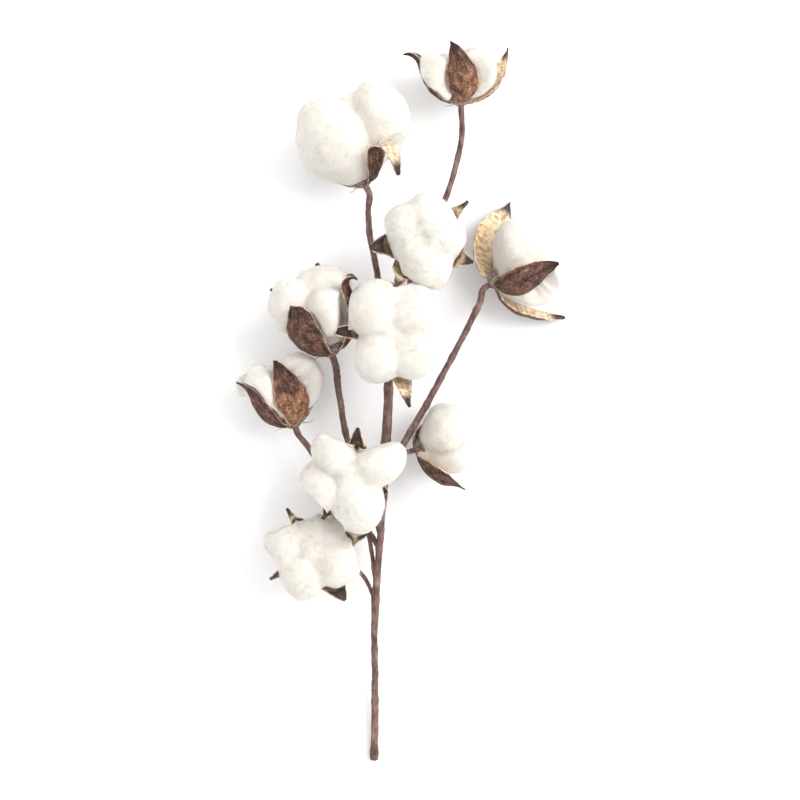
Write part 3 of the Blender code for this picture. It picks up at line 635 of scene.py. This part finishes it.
def valve_piece(blade, azimuth):
    """A thin shell over the valve's inner face, with its outside, inside and rim finished apart."""
    bpy.ops.mesh.primitive_grid_add(x_subdivisions=VALVE_GRID[0], y_subdivisions=VALVE_GRID[1], size=2.0)
    item = bpy.context.object
    mesh = item.data
    places = [  # with the rows closer together towards the edges
        ((vert.co.x + 1) / 2, 1.25 * vert.co.y - 0.25 * vert.co.y**3) for vert in mesh.vertices]
    masks = {"dark": [], "golden": [], "tip": [], "edge": []}
    for vert, (t, v) in zip(mesh.vertices, places, strict=True):
        vert.co = blade_point(blade, t, v) * MM
        patch = noise.noise((t * 5, v * 2, blade["phase"])) * MASK_PATCHES
        masks["dark"].append(1.25 * (t - TIP_START) / TIP_SPAN + patch)
        masks["tip"].append(2.4 * (t - TIP_START + 0.12 * blade["spoon"]) / TIP_SPAN + patch)
        masks["golden"].append(blade["gold"] * (1.15 - t * 1.5) + patch)
        masks["edge"].append((abs(v) - EDGE_START) / EDGE_SPAN + patch - max(0.0, t - EDGE_START) / 0.05)
    for name, values in masks.items():
        store(mesh, name, np.clip(values, 0, 1))
    for loop in mesh.uv_layers.active.data:
        loop.uv = (loop.uv[0] + blade["phase"] * 3, loop.uv[1] + blade["phase"] * 7)
    select_only(item)
    bpy.ops.object.mode_set(mode="EDIT")
    bpy.ops.mesh.select_all(action="SELECT")
    bpy.ops.mesh.flip_normals()
    bpy.ops.object.mode_set(mode="OBJECT")
    for finish in ("outside", "inside", "rim"):
        mesh.materials.append(FINISH[finish])
    modify(item, "SOLIDIFY", thickness=VALVE_WALL * MM, offset=1.0, material_offset=1,
           material_offset_rim=2)
    facing = sum(face.normal.x * face.area for face in item.data.polygons if face.material_index == 0)
    if facing < 0:
        for face in item.data.polygons:
            face.material_index = (1, 0, 2)[face.material_index]
    item.data.transform(Matrix.Rotation(math.radians(azimuth), 4, "Z"))
    bpy.ops.object.shade_smooth()
    return item


# ---- the calyx and its wisps -------------------------------------------------------------
def widen(rings, start):
    """Draws the chosen face out from its own (radius, height) through those of the rings."""
    radius, height = start
    for wide, high in rings:
        bpy.ops.mesh.extrude_region_move(TRANSFORM_OT_translate={"value": (0, 0, (high - height) * MM)})
        bpy.ops.transform.resize(value=(wide / radius, wide / radius, 1))
        radius, height = wide, high


def calyx_piece(boll):
    """A rough cup under the valves, ruffled along its top edge."""
    seed = random.Random(boll.name + " calyx").uniform(0, 50)
    azimuths = [valve.azimuth for valve in boll.valves]
    radius, height = CALYX_FOOT
    bpy.ops.mesh.primitive_cylinder_add(
        vertices=CALYX_SIDES, radius=radius * MM, depth=2 * height * MM, end_fill_type="NGON",
        location=(0, 0, 0))
    item = bpy.context.object
    select_only(item)
    bpy.ops.object.mode_set(mode="EDIT")
    bpy.ops.mesh.select_mode(type="FACE")
    bpy.ops.mesh.select_all(action="DESELECT")
    bpy.ops.object.mode_set(mode="OBJECT")
    top = next(face for face in item.data.polygons if face.normal.z > 0.9)
    top.select = True
    bpy.ops.object.mode_set(mode="EDIT")
    widen(CALYX_OUTSIDE + CALYX_INSIDE, CALYX_FOOT)
    bpy.ops.object.mode_set(mode="OBJECT")
    for vert in item.data.vertices:
        spin = math.atan2(vert.co.y, vert.co.x)
        out = math.hypot(vert.co.x, vert.co.y) / MM
        share = max(0.0, out - 4.0) / 6.0
        lobe = max(math.cos(2.5 * (spin - math.radians(a))) ** 2 for a in azimuths)
        ruffle = noise.noise((math.cos(spin) * 3.2, math.sin(spin) * 3.2, seed))
        fine = noise.noise((math.cos(spin) * 9, math.sin(spin) * 9, seed + vert.co.z / MM * 0.4))
        grow = 1 + share * (0.10 * ruffle + 0.07 * fine)
        vert.co.x *= grow
        vert.co.y *= grow
        vert.co.z += share * (1.6 * ruffle + 0.9 * fine + 0.8 * lobe - 0.6) * MM
    item.data.materials.append(FINISH["calyx"])
    modify(item, "SUBSURF", levels=1, render_levels=1)
    bpy.ops.object.shade_smooth()
    return item


def wisp_piece(points, radius):
    """A thin tapering thread along the points."""
    curve = bpy.data.curves.new("wisp", "CURVE")
    curve.dimensions = "3D"
    curve.bevel_depth = radius * MM
    curve.bevel_resolution = 1
    curve.resolution_u = 5
    curve.use_fill_caps = True
    spline = curve.splines.new("BEZIER")
    spline.bezier_points.add(len(points) - 1)
    last = len(points) - 1
    for k, (point, place) in enumerate(zip(spline.bezier_points, points, strict=True)):
        point.co = Vector(place) * MM
        point.handle_left_type = point.handle_right_type = "AUTO"
        point.radius = 1.0 - 0.75 * k / last
    item = tube_of(curve)
    item.data.materials.append(FINISH["calyx"])
    return item


def wisps_of(boll):
    """Torn strips of the dry bracts, which curl away from the calyx."""
    draw = random.Random(boll.name + " wisps")
    made = []
    for k in range(WISPS):
        spin = math.radians(360 / WISPS * k + draw.uniform(-25, 25))
        reach, rise = draw.uniform(5, 11), draw.uniform(-2, 5)
        swing = draw.uniform(-0.5, 0.5)
        points = []
        for j in range(WISP_POINTS):
            share = j / (WISP_POINTS - 1)
            out = 4.5 + reach * share
            high = 2.0 + rise * share + 3.0 * draw.uniform(-0.5, 0.5) * share
            turn = spin + swing * share**2 + draw.uniform(-0.12, 0.12) * share
            points.append((out * math.cos(turn), out * math.sin(turn), high))
        made.append(wisp_piece(points, draw.uniform(0.28, 0.5)))
    return made


def build_husk(boll):
    pieces = [valve_piece(blade, azimuth) for azimuth, blade in valves_of(boll)]
    pieces.append(calyx_piece(boll))
    pieces += wisps_of(boll)
    husk = join(pieces, "husk_" + boll.name)
    husk.data.transform(placement(boll))
    for vert in husk.data.vertices:
        vert.co.z = max(vert.co.z, TABLE_GAP * MM)
    return husk


# ---- the lint ----------------------------------------------------------------------------
def lock_piece(lock, draw):
    """One tuft: a lobe that narrows towards its root."""
    radii = (lock.deep, lock.wide, lock.tall)
    deep, wide, tall = (radius * (1 + draw.uniform(-1, 1) * LOCK_JITTER) for radius in radii)
    bpy.ops.mesh.primitive_uv_sphere_add(segments=40, ring_count=26, radius=1.0)
    item = bpy.context.object
    for vert in item.data.vertices:
        x, y, z = vert.co
        girth = 1 - (1 - LOCK_ROOT) * max(0.0, -z) ** 1.5
        vert.co = Vector(((lock.out + deep * x) * girth, wide * y * girth, lock.high + tall * z)) * MM
    item.data.transform(Matrix.Rotation(math.radians(lock.azimuth), 4, "Z"))
    return item


def valve_walls(boll):
    """The middles of the valves' inner faces, as one tree: the lint bulges past their edges only."""
    points, faces = [], []
    rows, columns = WALL_GRID
    for azimuth, blade in valves_of(boll):
        turn = Matrix.Rotation(math.radians(azimuth), 3, "Z")
        first = len(points)
        for i in range(rows + 1):
            for j in range(columns + 1):
                place = blade_point(blade, WALL_REACH * i / rows, 2 * j / columns - 1, False, WALL_SHARE)
                points.append(turn @ place * MM)
        for i in range(rows):
            for j in range(columns):
                a = first + i * (columns + 1) + j
                faces.append((a, a + 1, a + columns + 2, a + columns + 1))
    return BVHTree.FromPolygons(points, faces)


def beyond(walls, point, reach):
    """How far a point is outside the nearest valve, that valve's outward normal, and how squarely."""
    place, normal, _, away = walls.find_nearest(point, reach)
    if place is None:
        return None
    if normal.dot(Vector((place.x, place.y, 0))) < 0:
        normal = -normal
    side = (point - place).dot(normal)
    return side, normal, 1.0 if away < 1e-6 else abs(side) / away


def dimple(mesh, points, walls, clear):
    """Presses the lint in behind each valve, and lets the dent fade out smoothly round it."""
    need = np.zeros_like(points)
    for k, point in enumerate(points):
        found = beyond(walls, Vector(point), DENT_REACH * MM)
        if found and found[0] > -clear and found[2] > DENT_SQUARE:
            need[k] = -found[1] * (found[0] + clear)
    pressed = np.linalg.norm(need, axis=1) > 0
    ends = edges_of(mesh)
    count = np.maximum(np.bincount(ends.ravel(), minlength=len(points)), 1)[:, None]
    field = need.copy()
    for _ in range(DENT_ROUNDS):
        total = np.zeros_like(points)
        np.add.at(total, ends[:, 0], field[ends[:, 1]])
        np.add.at(total, ends[:, 1], field[ends[:, 0]])
        spread = total / count * DENT_FADE
        field = np.where(pressed[:, None], need, spread)
    return points + field


def edges_of(mesh):
    ends = np.empty(len(mesh.edges) * 2, np.int32)
    mesh.edges.foreach_get("vertices", ends)
    return ends.reshape(-1, 2)


def smooth_points(mesh, points, rounds):
    """Each point drawn halfway to the middle of its neighbours, round after round."""
    ends = edges_of(mesh)
    count = np.bincount(ends.ravel(), minlength=len(points))[:, None]
    for _ in range(rounds):
        total = np.zeros_like(points)
        np.add.at(total, ends[:, 0], points[ends[:, 1]])
        np.add.at(total, ends[:, 1], points[ends[:, 0]])
        points = points * 0.5 + total / np.maximum(count, 1) * 0.5
    return points


def surface_spots(mesh, count, draw):
    """Chance spots spread evenly over the lint, and the normals there."""
    mesh.calc_loop_triangles()
    corners = np.empty(len(mesh.loop_triangles) * 3, np.int32)
    mesh.loop_triangles.foreach_get("vertices", corners)
    corners = corners.reshape(-1, 3)
    points, normals = points_of(mesh), normals_of(mesh)
    first, second, third = (points[corners[:, k]] for k in range(3))
    areas = np.linalg.norm(np.cross(second - first, third - first), axis=1)
    chosen = draw.choice(len(corners), count, p=areas / areas.sum())
    share = draw.dirichlet((1, 1, 1), count)[:, :, None]
    at = (points[corners[chosen]] * share).sum(1)
    up = (normals[corners[chosen]] * share).sum(1)
    return at, up / (np.linalg.norm(up, axis=1)[:, None] + 1e-12)


def fibre_lines(mesh, count, draw):
    """Four stations along each fibre, with its directions up from the lint and across."""
    at, up = surface_spots(mesh, count, draw)
    way = draw.normal(size=(count, 3))
    way -= up * (way * up).sum(1)[:, None]
    way /= np.linalg.norm(way, axis=1)[:, None] + 1e-12
    across = np.cross(up, way)
    length = draw.uniform(*FIBRE_LENGTHS, count)[:, None] * MM
    bow = draw.normal(0, 0.28, count)[:, None] * length
    lift = draw.gamma(1.6, 0.33, count)[:, None] * MM
    free = (draw.uniform(size=count) < FREE_SHARE)[:, None] * draw.gamma(2.0, 0.55, count)[:, None] * MM
    stations = []
    for u in (0.0, 0.34, 0.67, 1.0):
        stations.append(at + way * length * (u - 0.5) + across * bow * math.sin(math.pi * u)
                        + up * (lift * math.sin(math.pi * u) - FIBRE_SINK * MM + free * u**1.5))
    return stations, up, across


def clear_fibres(stations, walls, back):
    """Which fibres stay over the table and inside the valves, by their stations."""
    inside = np.ones(len(stations[0]), bool)
    for station in stations:
        inside &= station[:, 2] > TABLE_GAP * MM
    for k in np.nonzero(inside)[0]:
        for station in stations[1:]:
            found = beyond(walls, back @ Vector(station[k]), FIBRE_REACH * MM)
            if found and found[0] > -FIBRE_GAP * MM and found[2] > 0.7:
                inside[k] = False
                break
    return inside


def splinters(stations, up, across, thick):
    """The fibres as one piece: each a bent splinter with a pointed tip at both ends."""
    rings = []
    for station in stations[1:3]:
        for k in range(3):
            a = math.tau * k / 3
            rings.append(station + (up * math.cos(a) + across * math.sin(a)) * thick)
    vertices = np.stack([stations[0], *rings, stations[3]], axis=1).reshape(-1, 3)
    pattern = []
    for k in range(3):
        n = (k + 1) % 3
        pattern += [(0, 1 + n, 1 + k), (1 + k, 1 + n, 4 + n), (1 + k, 4 + n, 4 + k), (4 + k, 4 + n, 7)]
    faces = (np.arange(len(thick))[:, None, None] * 8 + np.array(pattern)[None]).reshape(-1, 3)
    made = bpy.data.meshes.new("fibres")
    made.vertices.add(len(vertices))
    made.vertices.foreach_set("co", vertices.astype(np.float32).ravel())
    made.loops.add(faces.size)
    made.loops.foreach_set("vertex_index", faces.astype(np.int32).ravel())
    made.polygons.add(len(faces))
    made.polygons.foreach_set("loop_start", np.arange(0, faces.size, 3, dtype=np.int32))
    made.update(calc_edges=True)
    made.validate()
    made.materials.append(FINISH["fibre"])
    # the fibres carry no painted crease shade
    store(made, "fold", np.zeros(len(vertices)))
    item = bpy.data.objects.new("fibres", made)
    bpy.context.scene.collection.objects.link(item)
    return item


def fibres_of(boll, mesh, walls, count):
    """Fine loose fibres over one boll's lint."""
    draw = np.random.RandomState(100 + len(boll.name) * 7 + int(boll.size * 100))
    stations, up, across = fibre_lines(mesh, count, draw)
    kept = clear_fibres(stations, walls, placement(boll).inverted())
    thick = draw.uniform(*FIBRE_RADII, int(kept.sum()))[:, None] * MM
    return splinters([station[kept] for station in stations], up[kept], across[kept], thick)


LUMPS = cloud_texture("lumps", 15.0, 1)
TUFTS = cloud_texture("tufts", 4.0, 2)


def melted_locks(boll):
    """The core, the root and the locks of one boll's lint, run together and made lumpy."""
    draw = random.Random(boll.name + " locks")
    bpy.ops.mesh.primitive_ico_sphere_add(subdivisions=4, radius=boll.core * MM, location=(0, 0, 0))
    core = bpy.context.object
    core.data.transform(Matrix.Translation((0, 0, CORE_HEIGHT * MM)))
    bpy.ops.mesh.primitive_ico_sphere_add(subdivisions=3, radius=ROOT_RADIUS * MM, location=(0, 0, 0))
    root = bpy.context.object
    root.data.transform(Matrix.Translation((0, 0, ROOT_HEIGHT * MM)))
    pieces = [core, root] + [lock_piece(lock, draw) for lock in boll.locks]
    lint = join(pieces, "lint_" + boll.name)
    modify(lint, "REMESH", mode="VOXEL", voxel_size=LINT_VOXEL * MM)
    mesh = lint.data
    set_points(mesh, smooth_points(mesh, points_of(mesh), LOCK_ROUNDS))
    for texture, depth in ((LUMPS, LUMP_DEPTH), (TUFTS, TUFT_DEPTH)):
        modify(lint, "DISPLACE", texture=texture, strength=depth * MM, mid_level=0.5,
               texture_coords="LOCAL")
    return lint


def mark_crease_shade(mesh, points):
    """Stores how deep in a crease each point of the lint lies, for the painted shade there."""
    flat = smooth_points(mesh, points, CREASE_SHADE_ROUNDS)
    fold = ((flat - points) * normals_of(mesh)).sum(1) / MM
    store(mesh, "fold", np.clip((fold - CREASE_SHADE_START) / CREASE_SHADE_SPAN, 0, 1))


def build_lint(boll, fibres):
    """One boll's lint: its locks melted together, pressed in behind each valve, with loose fibres."""
    lint = melted_locks(boll)
    mesh = lint.data
    points = points_of(mesh)
    walls = valve_walls(boll)
    for clear, rounds in DENTS:
        points = smooth_points(mesh, dimple(mesh, points, walls, clear * MM), rounds)
    set_points(mesh, points)
    # painted shade: how deep each point sits in a crease, for darkening the lint's colour there
    mark_crease_shade(mesh, points)
    mesh.materials.append(FINISH["lint"])
    mesh.transform(placement(boll))
    points = points_of(mesh)
    points[:, 2] = np.maximum(points[:, 2], TABLE_GAP * MM)
    set_points(mesh, points)
    select_only(lint)
    bpy.ops.object.shade_smooth()
    if fibres:
        lint = join([lint, fibres_of(boll, mesh, walls, fibres)], "lint_" + boll.name)
    return lint


# ---- the branch --------------------------------------------------------------------------
def smooth_route(points):
    made = []
    for i in range(len(points) - 1):
        span = (Vector(points[i + 1][:3]) - Vector(points[i][:3])).length
        count = max(1, round(span / STEM_STEP))
        made += [along(points, (i + k / count) / (len(points) - 1)) for k in range(count)]
    return made + [list(points[-1])]


def side_route(boll):
    base, heading = Vector(boll.base), Vector(boll.heading).normalized()
    neck = [base - heading * (NECK * boll.size), base + heading * NECK_SINK]
    return list(SIDE_STEMS[boll.name]) + [(*p, NECK_RADIUS * boll.size) for p in neck]


def stem_piece(name, points, seed):
    """A stem of uneven girth, with a low swelling where each leaf stood."""
    curve = bpy.data.curves.new(name, "CURVE")
    curve.dimensions = "3D"
    curve.bevel_depth = MM
    curve.bevel_resolution = 5
    curve.use_fill_caps = True
    spline = curve.splines.new("POLY")
    spline.points.add(len(points) - 1)
    run = 0.0
    for k, (point, (x, y, z, radius)) in enumerate(zip(spline.points, points, strict=True)):
        if k:
            run += (Vector(points[k][:3]) - Vector(points[k - 1][:3])).length
        scar = math.exp(-(((run + seed * 13) % SCAR_STEP - SCAR_STEP / 2) / SCAR_WIDTH) ** 2)
        girth = 1 + 0.10 * noise.noise((run / 9, seed, 0)) + 0.16 * scar
        sway = [0.45 * noise.noise((run / 14, seed, 3 + axis)) for axis in range(3)]
        point.co = ((x + sway[0]) * MM, (y + sway[1] * 0.3) * MM, (z + sway[2]) * MM, 1.0)
        point.radius = radius * girth
    return tube_of(curve)


def build_stems():
    stems = [stem_piece("main", smooth_route(MAIN_STEM), 1)]
    for k, boll in enumerate(BOLLS):
        stems.append(stem_piece("side_" + boll.name, smooth_route(side_route(boll)), 2 + k))
    bark = join(stems, "barked_stems")
    modify(bark, "REMESH", mode="VOXEL", voxel_size=BARK_VOXEL * MM)
    mesh = bark.data
    set_points(mesh, smooth_points(mesh, points_of(mesh), BARK_ROUNDS))
    ridges = cloud_texture("ridges", RIDGE_SIZE, 3)
    modify(bark, "DISPLACE", texture=ridges, strength=RIDGE_DEPTH * MM, mid_level=0.5,
           texture_coords="LOCAL")
    mesh = bark.data
    points = points_of(mesh)
    end = cad_box[0].y
    points[:, 1] = np.maximum(points[:, 1], end)
    points[:, 2] = np.maximum(points[:, 2], BARK_GAP * MM)
    set_points(mesh, points)
    mesh.materials.append(FINISH["bark"])
    mesh.materials.append(FINISH["pith"])
    for face in mesh.polygons:
        if face.center.y < end + CUT_DEPTH * MM and face.normal.y < -0.7:
            face.material_index = 1
    select_only(bark)
    bpy.ops.object.shade_smooth()
    return bark


# ---- put together ------------------------------------------------------------------------
def finish_piece(item, node):
    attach(item, "root")
    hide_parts(node)


finish_piece(build_stems(), "branch")
for boll in BOLLS:
    finish_piece(build_husk(boll), "bur_" + boll.name)
    finish_piece(build_lint(boll, FIBRES), "cotton_" + boll.name)


# ---- table, light and camera, in metres --------------------------------------------------
CAMERA_PLACE = (-0.0009, 0.00466, 1.6)  # it looks straight down


def make_table():
    bpy.ops.object.select_all(action="DESELECT")
    bpy.ops.mesh.primitive_plane_add(size=6.0, location=(0, 0, 0))
    table = named(bpy.context.object, "table")
    made, _, _ = new_material(
        "Table", Base_Color=(0.95, 0.95, 0.95, 1.0), Roughness=0.9, Specular_IOR_Level=0.1)
    table.data.materials.append(made)


def make_light(name, place, power, size):
    lamp = bpy.data.lights.new(name, "AREA")
    lamp.energy, lamp.size, lamp.shape = power, size, "DISK"
    item = bpy.data.objects.new(name, lamp)
    bpy.context.scene.collection.objects.link(item)
    item.location = place
    item.rotation_mode = "QUATERNION"
    item.rotation_quaternion = (-Vector(place)).to_track_quat("-Z", "Y")


def make_sky(strength):
    world = bpy.data.worlds.new("Studio")
    world.use_nodes = True
    world.node_tree.nodes["Background"].inputs["Color"].default_value = (1.0, 1.0, 1.0, 1.0)
    world.node_tree.nodes["Background"].inputs["Strength"].default_value = strength
    bpy.context.scene.world = world


def make_camera():
    camera = bpy.data.cameras.new("camera")
    camera.sensor_width, camera.lens = 36.0, 101.6
    camera.clip_start, camera.clip_end = 0.05, 20.0
    item = bpy.data.objects.new("camera", camera)
    bpy.context.scene.collection.objects.link(item)
    item.location = CAMERA_PLACE
    bpy.context.scene.camera = item


make_table()
make_sky(1.17)
make_light("softbox", (1.1, 0.6, 1.25), 26.0, 1.3)
make_camera()
bpy.context.scene.view_settings.view_transform = "Standard"
